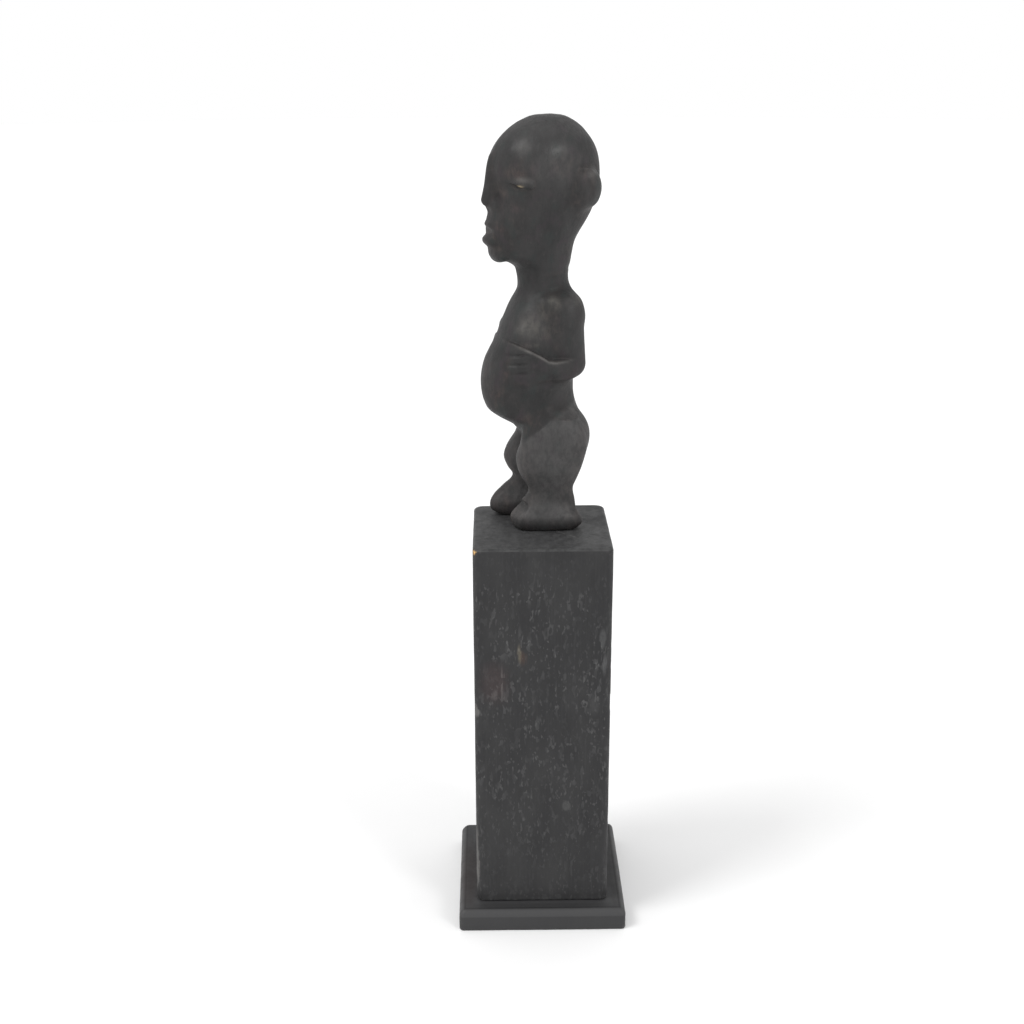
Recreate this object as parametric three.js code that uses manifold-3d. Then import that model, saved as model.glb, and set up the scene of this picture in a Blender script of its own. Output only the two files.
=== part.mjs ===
// Carved hardwood fertility figure, pinned by both legs to the top of a tall square
// timber plinth: a solid 65 mm square column screwed down to a moulded base plate.
// Millimetres, +Z up. The origin is the centre of the base plate's underside.
// The figure faces -Y, turned a little towards +X.
import * as THREE from 'three';
import { mergeVertices } from 'three/addons/utils/BufferGeometryUtils.js';
import Module from 'manifold-3d';

const wasm = await Module();
wasm.setup();

// ---------------------------------------------------------------- dimensions
const GAP = 0.3;               // clearance between pieces that touch

const BASE_SIDE = 82.7;        // base plate, square
const BASE_T = 11.0;           // base plate thickness
const BASE_CORNER_R = 2.4;     // plan corner radius
const BASE_EDGE_H = 7.2;       // square part of the edge
const BASE_ROUND_IN = 2.9;     // the rounded shoulder runs in this far above the square edge

const COL_SIDE = 65.0;         // column, square
const COL_ARRIS_R = 4.0;       // rounded vertical edges
const COL_TOP_R = 1.8;         // rounded top edge
const COL_Z0 = BASE_T + GAP;
const COL_Z1 = 197.8;          // top of the column

const SCREW_POS = 19;          // four screws at +-19, +-19
const SCREW_R = 2.0;           // 4 mm wood screw
const SCREW_HEAD_R = 4.0;
const SCREW_HEAD_H = 2.4;
const SCREW_LEN = 32;
const SCREW_RECESS = 0.6;      // head below the underside

const PIN_R = 1.5;             // 3 mm steel pins up the legs
const PIN_LEN = 34;
const PIN_DOWN = 18;           // length inside the column
const PIN_NEAR = [1.6, 5.0];   // plan position in the left leg
const PIN_FAR = [-20.4, -3.0]; // plan position in the right leg

const FIG_Z0 = COL_Z1 + GAP;   // soles of the feet
const FIG_AXIS = [-9.5, 0.0];  // axis of the trunk on the column

// ---------------------------------------------------------------- helpers
const material = (name, color, roughness, metalness = 0) =>
  Object.assign(new THREE.MeshStandardMaterial({ color, roughness, metalness }), { name });

// closed skin over a stack of rings that all have the same number of points
function skin(rings) {
  const n = rings[0].length;
  const pos = [];
  const idx = [];
  for (const ring of rings) for (const p of ring) pos.push(p.x, p.y, p.z);
  for (let k = 0; k + 1 < rings.length; k++) {
    for (let i = 0; i < n; i++) {
      const j = (i + 1) % n;
      const a = k * n + i, b = k * n + j, c = (k + 1) * n + j, d = (k + 1) * n + i;
      idx.push(a, b, c, a, c, d);
    }
  }
  for (const [k, flip] of [[0, true], [rings.length - 1, false]]) {
    const m = new THREE.Vector3();
    for (const p of rings[k]) m.add(p);
    m.divideScalar(n);
    const q = pos.length / 3;
    pos.push(m.x, m.y, m.z);
    for (let i = 0; i < n; i++) {
      const j = (i + 1) % n;
      if (flip) idx.push(q, k * n + j, k * n + i); else idx.push(q, k * n + i, k * n + j);
    }
  }
  const g = new THREE.BufferGeometry();
  g.setAttribute('position', new THREE.Float32BufferAttribute(pos, 3));
  g.setIndex(idx);
  return g;
}

// rounded square outline, counter-clockwise from above
function squareRing(half, r, z, seg = 4) {
  const pts = [];
  for (let q = 0; q < 4; q++) {
    const a0 = q * Math.PI / 2;
    const sx = [1, -1, -1, 1][q], sy = [1, 1, -1, -1][q];
    const arc = new THREE.EllipseCurve(sx * (half - r), sy * (half - r), r, r, a0, a0 + Math.PI / 2);
    for (const p of arc.getPoints(seg)) pts.push(new THREE.Vector3(p.x, p.y, z));
  }
  return pts;
}

function toSolid(geometry) {
  const g = geometry.index ? geometry.clone() : geometry;
  g.deleteAttribute('normal');
  g.deleteAttribute('uv');
  const m = mergeVertices(g, 1e-4);
  return new wasm.Manifold(new wasm.Mesh({
    numProp: 3,
    vertProperties: new Float32Array(m.attributes.position.array),
    triVerts: new Uint32Array(m.index.array),
  }));
}

function fromSolid(solid) {
  const m = solid.getMesh();
  const g = new THREE.BufferGeometry();
  g.setAttribute('position', new THREE.BufferAttribute(new Float32Array(m.vertProperties), 3));
  g.setIndex(new THREE.BufferAttribute(new Uint32Array(m.triVerts), 1));
  g.computeVertexNormals();
  return g;
}

// cylinder along Z from z0 to z1
function rod(x, y, z0, z1, r, seg = 16) {
  const g = new THREE.CylinderGeometry(r, r, z1 - z0, seg);
  g.rotateX(Math.PI / 2);
  g.translate(x, y, (z0 + z1) / 2);
  return toSolid(g);
}

function mesh(name, geometry, mat) {
  const m = new THREE.Mesh(geometry, mat);
  m.name = name;
  return m;
}

// smooth table lookup: rows are [z, values...]
function station(table, z) {
  const n = table.length;
  let i = 0;
  while (i < n - 2 && z > table[i + 1][0]) i++;
  const h = table[i + 1][0] - table[i][0];
  const t = Math.min(1, Math.max(0, (z - table[i][0]) / h));
  const slope = (k, c) => {
    const a = Math.max(0, k - 1), b = Math.min(n - 1, k + 1);
    return (table[b][c] - table[a][c]) / (table[b][0] - table[a][0]);
  };
  return table[i].slice(1).map((v0, c) => {
    const v1 = table[i + 1][c + 1];
    const m0 = slope(i, c + 1) * h, m1 = slope(i + 1, c + 1) * h;
    const t2 = t * t, t3 = t2 * t;
    return (2 * t3 - 3 * t2 + 1) * v0 + (t3 - 2 * t2 + t) * m0 + (3 * t2 - 2 * t3) * v1 + (t3 - t2) * m1;
  });
}

// ---------------------------------------------------------------- base plate
function basePlate() {
  const h = BASE_SIDE / 2;
  const prof = [[0.5, 0], [0, 0.5], [0, BASE_EDGE_H]];
  for (let i = 1; i <= 5; i++) {
    const a = (i / 5) * Math.PI / 2;
    prof.push([BASE_ROUND_IN * (1 - Math.cos(a)), BASE_EDGE_H + (BASE_T - BASE_EDGE_H) * Math.sin(a)]);
  }
  const rings = prof.map(([d, z]) => squareRing(h - d, Math.max(0.6, BASE_CORNER_R - d * 0.4), z));
  let s = toSolid(skin(rings));
  for (const [x, y] of screwSpots()) {
    s = s.subtract(rod(x, y, -1, BASE_T + 1, SCREW_R + GAP));
    const sink = new THREE.LatheGeometry([
      new THREE.Vector2(0, -1),
      new THREE.Vector2(SCREW_HEAD_R + GAP, -1),
      new THREE.Vector2(SCREW_HEAD_R + GAP, SCREW_RECESS + GAP),
      new THREE.Vector2(SCREW_R + GAP, SCREW_RECESS + SCREW_HEAD_H + GAP),
      new THREE.Vector2(0, SCREW_RECESS + SCREW_HEAD_H + GAP + 1.5),
    ], 16);
    sink.rotateX(Math.PI / 2);
    sink.translate(x, y, 0);
    s = s.subtract(toSolid(sink));
  }
  return fromSolid(s);
}
function screwSpots() {
  const p = SCREW_POS;
  return [[p, p], [-p, p], [-p, -p], [p, -p]];
}

// ---------------------------------------------------------------- column
function column() {
  const h = COL_SIDE / 2;
  const rings = [
    squareRing(h - 0.3, COL_ARRIS_R - 0.3, COL_Z0),
    squareRing(h, COL_ARRIS_R, COL_Z0 + 0.3),
    squareRing(h, COL_ARRIS_R, COL_Z1 - COL_TOP_R),
  ];
  for (let i = 1; i <= 4; i++) {
    const a = (i / 4) * Math.PI / 2;
    const d = COL_TOP_R * (1 - Math.cos(a));
    rings.push(squareRing(h - d, COL_ARRIS_R - d * 0.6, COL_Z1 - COL_TOP_R + COL_TOP_R * Math.sin(a)));
  }
  let s = toSolid(skin(rings));
  for (const [x, y] of screwSpots()) {
    s = s.subtract(rod(x, y, COL_Z0 - 1, SCREW_RECESS + SCREW_LEN + 2, SCREW_R + GAP));
  }
  for (const [x, y] of [PIN_NEAR, PIN_FAR]) {
    s = s.subtract(rod(x, y, COL_Z1 - PIN_DOWN - 0.5, COL_Z1 + 1, PIN_R + GAP));
  }
  return fromSolid(s);
}

// ---------------------------------------------------------------- fixings
// countersunk slotted wood screw, head down, point up
function screw(x, y) {
  const pts = [new THREE.Vector2(0, 0), new THREE.Vector2(SCREW_HEAD_R, 0),
    new THREE.Vector2(SCREW_HEAD_R, 0.3), new THREE.Vector2(SCREW_R, SCREW_HEAD_H)];
  let z = 11;
  pts.push(new THREE.Vector2(SCREW_R, z));
  for (; z < SCREW_LEN - 6; z += 3) {
    pts.push(new THREE.Vector2(SCREW_R - 0.45, z + 1));
    pts.push(new THREE.Vector2(SCREW_R, z + 2.4));
  }
  pts.push(new THREE.Vector2(SCREW_R - 0.6, SCREW_LEN - 3));
  pts.push(new THREE.Vector2(0, SCREW_LEN));
  const g = new THREE.LatheGeometry(pts, 10);
  g.rotateX(Math.PI / 2);
  g.translate(x, y, SCREW_RECESS);
  const slot = new THREE.BoxGeometry(2 * SCREW_HEAD_R + 2, 1.0, 2.4);
  slot.rotateZ(x * y > 0 ? 0.5 : -0.9);
  slot.translate(x, y, SCREW_RECESS - 0.2);
  return fromSolid(toSolid(g).subtract(toSolid(slot)));
}

// plain steel pin with chamfered ends
function pin(x, y) {
  const z0 = COL_Z1 - PIN_DOWN;
  const c = 0.4;
  const g = new THREE.LatheGeometry([
    new THREE.Vector2(0, 0), new THREE.Vector2(PIN_R - c, 0), new THREE.Vector2(PIN_R, c),
    new THREE.Vector2(PIN_R, PIN_LEN - c), new THREE.Vector2(PIN_R - c, PIN_LEN),
    new THREE.Vector2(0, PIN_LEN),
  ], 16);
  g.rotateX(Math.PI / 2);
  g.translate(x, y, z0);
  return fromSolid(toSolid(g));
}

// ---------------------------------------------------------------- carved figure
// heights below are above the soles; u is forward, v is to the figure's left
const TWIST = [[0, 10], [20, 14], [50, 18], [110, 20], [200, 21]];
function turn(z) {
  for (let i = 0; i + 1 < TWIST.length; i++) {
    const [z0, a0] = TWIST[i], [z1, a1] = TWIST[i + 1];
    if (z <= z1) return (a0 + (a1 - a0) * Math.max(0, (z - z0) / (z1 - z0))) * Math.PI / 180;
  }
  return 21 * Math.PI / 180;
}
function bodyPoint(u, v, z) {
  const t = turn(z), c = Math.cos(t), s = Math.sin(t);
  return new THREE.Vector3(FIG_AXIS[0] + u * s + v * c, FIG_AXIS[1] - u * c + v * s, FIG_Z0 + z);
}

// trunk: [height, front, back, half width, squareness]
const TRUNK = [
  [41, 6, 14, 13, 2], [45, 10, 17, 16.5, 2.2], [50, 15, 19.2, 17.4, 2.2], [53, 20, 18.8, 16.8, 2.2],
  [56, 24.3, 17.4, 16, 2.2], [61, 27.3, 15.6, 15.9, 2.2], [65, 28.2, 14.9, 16.8, 2.2], [70, 28.4, 14.6, 18.6, 2.2],
  [75, 27.8, 14, 19, 2.2], [80, 26.4, 14.4, 18.8, 2.2], [85, 24, 14.8, 18, 2.2], [90, 21, 15, 17.6, 2.2],
  [95, 18.5, 15, 17.4, 2.3], [100, 16.4, 14.8, 17, 2.3], [104, 14.7, 14.2, 16.2, 2.3], [107.5, 13.2, 13.6, 14, 2.2],
  [110, 11.8, 13, 12.8, 2.1], [112.5, 10.8, 12.6, 11.8, 2], [116, 10.7, 12.6, 11, 2], [120, 11.3, 12.4, 10.8, 2],
  [124, 12.5, 12.2, 10.8, 2], [128, 13, 11, 10, 2],
];
const HEAD = [
  [121.5, 8, 11, 9.3, 2], [123.5, 13, 12.5, 10.3, 2.1], [126, 18.8, 13.4, 11.4, 2.2], [128, 22.8, 13.8, 12.2, 2.25],
  [131, 24.6, 14.2, 13.2, 2.3], [134, 24, 15.1, 14, 2.3], [138, 23.6, 17.4, 15, 2.25], [142, 23, 20, 16, 2.2],
  [146, 22.6, 22.4, 17, 2.2], [150, 22.6, 24.2, 17.9, 2.15], [154, 22.9, 25.6, 18.7, 2.1], [158, 23.6, 26.4, 19.4, 2.1],
  [163, 24.7, 26.7, 20, 2.1], [168, 24.6, 26.4, 20.1, 2.1], [172, 23.4, 25.7, 19.7, 2.05], [176, 21.3, 24.2, 18.7, 2],
  [180.5, 17.5, 21.2, 16.2, 2], [184, 13.2, 18, 13.2, 2], [187, 7.6, 13.4, 9.1, 2], [188.6, 2.8, 9.4, 5.6, 2],
  [189.5, -3.2, 5, 0.8, 2],
];
function sectionRing(place, cu, a, b, n, z, seg) {
  const ring = [];
  for (let i = 0; i < seg; i++) {
    const t = (i / seg) * 2 * Math.PI;
    const c = Math.cos(t), s = Math.sin(t);
    const k = Math.pow(Math.pow(Math.abs(c), n) + Math.pow(Math.abs(s), n), -1 / n);
    ring.push(place(cu + a * c * k, b * s * k, z));
  }
  return ring;
}
function trunkLoft(table, heights, seg) {
  return skin(heights.map((z) => {
    const [f, bk, b, n] = station(table, z);
    return sectionRing(bodyPoint, (f - bk) / 2, (f + bk) / 2, b, n, z, seg);
  }));
}

// legs and feet: [height, front Y, back Y, inner X, outer X, squareness]
const LEG_NEAR = [
  [0, -12.5, 16.6, -3.8, 7.2, 3], [2, -15.2, 19.2, -4.4, 8.1, 3], [4.5, -16.9, 19.7, -4.6, 8.5, 2.8], [7, -16.2, 18.2, -4.6, 8.3, 2.6],
  [9.5, -14.6, 16.8, -4.4, 6.9, 2.5], [12, -11.8, 15.8, -4.2, 5.7, 2.4], [14.5, -8.9, 15.3, -4.1, 5.5, 2.3], [17, -7, 15, -4.1, 5.9, 2.3],
  [20, -6.8, 15.5, -4.8, 6.8, 2.2], [24, -8.8, 16.8, -6, 8.2, 2.2], [29, -10.8, 18.6, -7.4, 9.8, 2.2], [34, -11.5, 20.2, -8.6, 10.8, 2.2],
  [39, -10.5, 21.5, -9, 11.2, 2.2], [44, -8, 21.8, -9, 11, 2.2], [49, -5, 20.4, -9, 10, 2.2], [54, -1, 17, -8, 8, 2.2],
];
const LEG_FAR = [
  [0, -20.4, 6.5, -26, -15.2, 3], [2, -23.6, 9, -27, -14.6, 3], [4.5, -25.4, 10, -27.4, -14.4, 2.8], [7, -24.9, 9.6, -27.4, -14.4, 2.6],
  [9.5, -22.6, 9, -27, -15.2, 2.5], [12, -19.2, 8.6, -26.6, -16, 2.4], [14.5, -16.6, 8.4, -26.4, -16.2, 2.3], [17, -14.2, 8.4, -26.4, -15.8, 2.3],
  [20, -13.4, 9, -26.8, -14.4, 2.2], [24, -15.6, 10.6, -27.6, -13.4, 2.2], [29, -17.2, 12.6, -28.6, -12, 2.2], [34, -15.9, 14.4, -29.4, -10.8, 2.2],
  [39, -13.2, 15.8, -29.6, -10, 2.2], [44, -9.6, 16, -29.2, -10, 2.2], [49, -6.5, 15, -28, -10, 2.2], [54, -4, 13, -26, -11, 2.2],
];
function legLoft(table, heights, seg) {
  return skin(heights.map((z) => {
    const [yf, yb, xi, xo, n] = station(table, z);
    const lo = Math.min(xi, xo), hi = Math.max(xi, xo);
    const cx = (lo + hi) / 2, cy = (yf + yb) / 2;
    const place = (p, q, h) => new THREE.Vector3(cx + q, cy - p, FIG_Z0 + h);
    return sectionRing(place, 0, (yb - yf) / 2, (hi - lo) / 2, n, z, seg);
  }));
}

// ellipsoid in body axes; yaw turns it about Z, pitch lowers its front
function lump(u, v, z, ru, rv, rz, yaw = 0, pitch = 0, segs = 12, rows = 8) {
  const g = new THREE.SphereGeometry(1, segs, rows);
  g.rotateX(Math.PI / 2);
  g.scale(rv, ru, rz);                       // local: x = left, -y = forward
  g.rotateX(pitch * Math.PI / 180);
  g.rotateZ(-yaw * Math.PI / 180 + turn(z));
  const p = bodyPoint(u, v, z);
  g.translate(p.x, p.y, p.z);
  return toSolid(g);
}

// limb between two points in body axes, flattened sideways
function limb(a, b, ra, rb, flat = 1, seg = 10) {
  const pa = bodyPoint(...a), pb = bodyPoint(...b);
  const dir = new THREE.Vector3().subVectors(pb, pa);
  const len = dir.length();
  const pts = [];
  for (let i = 0; i <= 3; i++) { const t = (i / 3) * Math.PI / 2; pts.push(new THREE.Vector2(ra * Math.sin(t), -ra * Math.cos(t))); }
  for (let i = 0; i <= 3; i++) { const t = (i / 3) * Math.PI / 2; pts.push(new THREE.Vector2(rb * Math.cos(t), len + rb * Math.sin(t))); }
  pts[0].x = 0; pts[pts.length - 1].x = 0;
  const g = new THREE.LatheGeometry(pts, seg);
  const q = new THREE.Quaternion().setFromUnitVectors(new THREE.Vector3(0, 1, 0), dir.clone().normalize());
  g.applyQuaternion(q);
  const side = bodyPoint(0, 1, a[2]).sub(bodyPoint(0, 0, a[2])).normalize();
  const p = g.attributes.position;
  for (let i = 0; i < p.count; i++) {
    const w = new THREE.Vector3(p.getX(i), p.getY(i), p.getZ(i));
    const s = w.dot(side);
    const along = side.dot(dir) * w.dot(dir) / (len * len);
    w.addScaledVector(side, (flat - 1) * (s - along)).add(pa);
    p.setXYZ(i, w.x, w.y, w.z);
  }
  return toSolid(g);
}

function figure() {
  const trunkZ = [41, 45, 49, 52, 55, 59, 64, 70, 77, 84, 91, 98, 103.5, 107.5, 111, 116, 121, 127.5];
  const headZ = [121.5, 123.5, 125.5, 128, 133, 139, 146, 153, 160, 167, 173, 178, 182, 185, 187.4, 189, 189.5];
  const legZ = [0, 2, 5, 8, 11, 14, 17, 21, 26, 32, 38, 44, 49, 53];
  let s = toSolid(trunkLoft(TRUNK, trunkZ, 22));
  const parts = [
    toSolid(trunkLoft(HEAD, headZ, 24)),
    toSolid(legLoft(LEG_NEAR, legZ, 16)),
    toSolid(legLoft(LEG_FAR, legZ, 16)),
    // nose, lips
    lump(24.0, 0, 155.2, 4.0, 3.4, 9, 0, 0),
    lump(22.9, 0, 141.4, 3.2, 5.4, 2.4, 0, 0),
    lump(23.5, 0, 134.1, 4.2, 5.6, 3.0, 0, 0),
    // ears, left and right
    lump(-15.6, 16.2, 158.4, 7.2, 5.4, 8.4, 36, 8),
    lump(-15.6, -16.2, 158.4, 7.2, 5.4, 8.4, -36, 8),
    // hips and buttocks
    lump(-1.2, 11.8, 45.5, 14.0, 8.1, 13.6),
    lump(-4.4, -11.8, 45.5, 11.2, 8.1, 13.6),
    lump(-12.6, 9, 44.6, 8.4, 8.6, 11),
    lump(-12.6, -9, 44.6, 8.4, 8.6, 11),
  ];
  for (const k of [1, -1]) {
    // shoulder, upper arm, elbow, forearm and hand laid on the belly
    parts.push(limb([-7, 13.8 * k, 102.4], [-9.8, 15.4 * k, 81.5], 8.0, 6.9, 0.95));
    parts.push(limb([-8.6, 15.8 * k, 79.4], [6, 16.6 * k, 80], 5.8, 5.4, 0.85));
    parts.push(lump(12.0, 13.8 * k, 80.5, 10.4, 4.4, 8.6, 38 * k, -10));
  }
  s = parts.reduce((acc, p) => acc.add(p), s);
  for (const [x, y] of [PIN_NEAR, PIN_FAR]) {
    s = s.subtract(rod(x, y, FIG_Z0 - 5, COL_Z1 - PIN_DOWN + PIN_LEN + 0.5, PIN_R + GAP));
  }
  return fromSolid(s);
}

// ---------------------------------------------------------------- assembly
const figureWood = material('figure_wood', 0x2b2523, 0.5);
const plinthPaint = material('plinth_paint', 0x35373a, 0.75);
const basePaint = material('base_paint', 0x303234, 0.6);
const steel = material('fixing_steel', 0x8c8f92, 0.35, 1);

const doll = new THREE.Group();
doll.add(mesh('figure', figure(), figureWood));
doll.add(mesh('column', column(), plinthPaint));
doll.add(mesh('base_plate', basePlate(), basePaint));
doll.add(mesh('leg_pin_left', pin(...PIN_NEAR), steel));
doll.add(mesh('leg_pin_right', pin(...PIN_FAR), steel));
screwSpots().forEach(([x, y], i) => {
  doll.add(mesh(`base_screw_${i + 1}`, screw(x, y), steel));
});

export default doll;
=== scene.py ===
"""Looks for the carved figure on its plinth: a darkened hardwood carving pinned to a
painted timber column on a moulded base plate. Metres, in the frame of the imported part."""
import math
import bpy
import numpy as np
from mathutils import Matrix, Vector


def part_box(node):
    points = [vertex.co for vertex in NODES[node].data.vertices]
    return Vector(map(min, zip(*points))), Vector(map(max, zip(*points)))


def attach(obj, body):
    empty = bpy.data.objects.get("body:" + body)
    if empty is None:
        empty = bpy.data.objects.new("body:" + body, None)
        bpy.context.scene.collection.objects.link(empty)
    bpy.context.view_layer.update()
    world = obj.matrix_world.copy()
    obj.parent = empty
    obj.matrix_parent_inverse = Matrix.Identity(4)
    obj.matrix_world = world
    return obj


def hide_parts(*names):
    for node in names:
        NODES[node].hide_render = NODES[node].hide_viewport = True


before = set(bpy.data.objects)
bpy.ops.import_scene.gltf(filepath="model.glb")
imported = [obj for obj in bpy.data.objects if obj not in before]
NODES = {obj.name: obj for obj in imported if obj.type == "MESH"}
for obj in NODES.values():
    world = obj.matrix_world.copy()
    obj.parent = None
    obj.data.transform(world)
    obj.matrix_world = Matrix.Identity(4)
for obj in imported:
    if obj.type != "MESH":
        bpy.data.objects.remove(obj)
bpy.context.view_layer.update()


def lo_hi(node):
    a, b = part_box(node)
    return np.array(a, float) * 1000.0, np.array(b, float) * 1000.0


FIG_LO, FIG_HI = lo_hi("figure")
COL_LO, COL_HI = lo_hi("column")
BASE_LO, BASE_HI = lo_hi("base_plate")
SOLE_Z = float(FIG_LO[2])            # height of the soles
COL_HALF = float(COL_HI[0] - COL_LO[0]) / 2
COL_Z0, COL_Z1 = float(COL_LO[2]), float(COL_HI[2])
BASE_HALF = float(BASE_HI[0] - BASE_LO[0]) / 2
BASE_Z1 = float(BASE_HI[2])

# ---------------------------------------------------------------- carved figure as an implicit surface
# millimetres, part frame, heights above the soles; u forward, v to the figure's left
F=np.float32
D2R=np.pi/180
AX,AY=-9.5,0.0

def smin(a,b,k):
    h=np.clip(0.5+0.5*(b-a)/k,0,1)
    return b+(a-b)*h-k*h*(1-h)
def smax(a,b,k): return -smin(-a,-b,k)
def sub(a,b,k): return smax(a,-b,k)

TW_Z=[0,20,50,110,200]; TW_A=[10,14,18,20,21]
def to_local(P):
    z=P[...,2]; t=np.interp(z,TW_Z,TW_A)*D2R; c,s=np.cos(t),np.sin(t)
    dx=P[...,0]-AX; dy=P[...,1]-AY
    return (dx*s-dy*c).astype(F),(dx*c+dy*s).astype(F),z.astype(F)

def ci(z,xs,ys):
    xs=np.asarray(xs,float); ys=np.asarray(ys,float)
    i=np.clip(np.searchsorted(xs,z)-1,0,len(xs)-2)
    h=xs[i+1]-xs[i]; t=np.clip((z-xs[i])/h,0,1)
    d=np.gradient(ys,xs)
    return ((2*t**3-3*t**2+1)*ys[i]+(t**3-2*t**2+t)*h*d[i]+(-2*t**3+3*t**2)*ys[i+1]+(t**3-t**2)*h*d[i+1])

def lattice(seed,n=17):
    return np.random.RandomState(seed).rand(n,n,n).astype(F)*2-1
_L=[lattice(s) for s in (3,11,29)]
def vnoise(x,y,z,k=0):
    """smooth lattice noise, -1..1, period 17"""
    L=_L[k%3]; n=17
    xf,yf,zf=np.floor(x),np.floor(y),np.floor(z)
    i,j,l=xf.astype(int)%n,yf.astype(int)%n,zf.astype(int)%n
    a,b,c=x-xf,y-yf,z-zf
    a=a*a*(3-2*a); b=b*b*(3-2*b); c=c*c*(3-2*c)
    i1,j1,l1=(i+1)%n,(j+1)%n,(l+1)%n
    def lp(p,q,t): return p+(q-p)*t
    return lp(lp(lp(L[i,j,l],L[i1,j,l],a),lp(L[i,j1,l],L[i1,j1,l],a),b),
              lp(lp(L[i,j,l1],L[i1,j,l1],a),lp(L[i,j1,l1],L[i1,j1,l1],a),b),c)

TRUNK=np.array([ # height, front, back, half width, squareness
 [41,6,14,13,2.0],[45,10,17,16.5,2.2],[50,15,19.2,17.4,2.2],[53,20,18.8,16.8,2.2],[56,24.3,17.4,16.0,2.2],
 [61,27.3,15.6,15.9,2.2],[65,28.2,14.9,16.8,2.2],[70,28.4,14.6,18.6,2.2],[75,27.8,14,19,2.2],[80,26.4,14.4,18.8,2.2],
 [85,24.0,14.8,18.0,2.2],[90,21.0,15,17.6,2.2],[95,18.5,15,17.4,2.3],[100,16.4,14.8,17.0,2.3],[104,14.7,14.2,16.2,2.3],
 [107.5,13.2,13.6,14.0,2.2],[110,11.8,13.0,12.8,2.1],[112.5,10.8,12.6,11.8,2],[116,10.7,12.6,11.0,2],[120,11.3,12.4,10.8,2],
 [124,12.5,12.2,10.8,2],[128,13,11,10,2]],float)
HEAD=np.array([
 [121.5,8,11,9.3,2],[123.5,13.0,12.5,10.3,2.1],[126,18.8,13.4,11.4,2.2],[128,22.8,13.8,12.2,2.25],[131,24.6,14.2,13.2,2.3],
 [134,24.0,15.1,14.0,2.3],[138,23.6,17.4,15.0,2.25],[142,23.0,20.0,16.0,2.2],[146,22.6,22.4,17.0,2.2],[150,22.6,24.2,17.9,2.15],
 [154,22.9,25.6,18.7,2.1],[158,23.6,26.4,19.4,2.1],[163,24.7,26.7,20.0,2.1],[168,24.6,26.4,20.1,2.1],[172,23.4,25.7,19.7,2.05],
 [176,21.3,24.2,18.7,2.0],[180.5,17.5,21.2,16.2,2.0],[184,13.2,18.0,13.2,2.0],[187,7.6,13.4,9.1,2.0],[188.6,2.8,9.4,5.6,2.0],
 [189.5,-3.2,5.0,0.8,2.0]],float)
def loft(u,v,z,T):
    zc=np.clip(z,T[0,0],T[-1,0])
    uf=ci(zc,T[:,0],T[:,1]); ub=ci(zc,T[:,0],T[:,2]); b=ci(zc,T[:,0],T[:,3]); n=np.interp(zc,T[:,0],T[:,4])
    a=(uf+ub)/2; u0=(uf-ub)/2
    q=(np.abs((u-u0)/a)**n+np.abs(v/b)**n)**(1/n)
    return np.maximum((q-1)*np.minimum(a,b),np.maximum(T[0,0]-z,z-T[-1,0])).astype(F)

def frame3(u,v,z,c,yaw=0,pitch=0,roll=0):
    x,y,w=u-c[0],v-c[1],z-c[2]
    if yaw:
        k=yaw*D2R; x,y=x*np.cos(k)+y*np.sin(k),-x*np.sin(k)+y*np.cos(k)
    if pitch:
        k=pitch*D2R; x,w=x*np.cos(k)-w*np.sin(k),x*np.sin(k)+w*np.cos(k)
    if roll:
        k=roll*D2R; y,w=y*np.cos(k)+w*np.sin(k),-y*np.sin(k)+w*np.cos(k)
    return x,y,w
def ell(u,v,z,c,r,yaw=0,pitch=0,roll=0):
    x,y,w=frame3(u,v,z,c,yaw,pitch,roll)
    q=np.sqrt((x/r[0])**2+(y/r[1])**2+(w/r[2])**2)
    g=np.sqrt((x/r[0]**2)**2+(y/r[1]**2)**2+(w/r[2]**2)**2)
    return (q*(q-1)/np.maximum(g,1e-3)).astype(F)
def cone(u,v,z,a,b,ra,rb):
    a=np.array(a,float); b=np.array(b,float); ab=b-a; L2=ab@ab
    pu,pv,pz=u-a[0],v-a[1],z-a[2]
    t=np.clip((pu*ab[0]+pv*ab[1]+pz*ab[2])/L2,0,1)
    du,dv,dz=pu-t*ab[0],pv-t*ab[1],pz-t*ab[2]
    return (np.sqrt(du*du+dv*dv+dz*dz)-(ra+(rb-ra)*t)).astype(F)
def chain(u,v,z,pts,r):
    """round cord through points; r one radius or one per point"""
    r=[r]*len(pts) if np.isscalar(r) else r
    d=None
    for i in range(len(pts)-1):
        c=cone(u,v,z,pts[i],pts[i+1],r[i],r[i+1])
        d=c if d is None else np.minimum(d,c)
    return d

# legs: height, front Y, back Y, inner X, outer X, squareness
LEG_L=np.array([
 [0,-12.5,16.6,-3.8,7.2,3],[2,-15.2,19.2,-4.4,8.1,3],[4.5,-16.9,19.7,-4.6,8.5,2.8],[7,-16.2,18.2,-4.6,8.3,2.6],
 [9.5,-14.6,16.8,-4.4,6.9,2.5],[12,-11.8,16.5,-4.2,5.7,2.4],[14.5,-8.9,16.2,-4.1,5.5,2.3],[17,-7,15.7,-4.1,5.9,2.3],
 [20,-6.8,15.5,-4.8,6.8,2.2],[24,-8.8,16.8,-6,8.2,2.2],[29,-10.8,18.6,-7.4,9.8,2.2],[34,-11.5,20.2,-8.6,10.8,2.2],
 [39,-10.5,21.5,-9,11.2,2.2],[44,-8,21.8,-9,11,2.2],[49,-5,20.4,-9,10,2.2],[54,-1,17,-8,8,2.2]],float)
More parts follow.
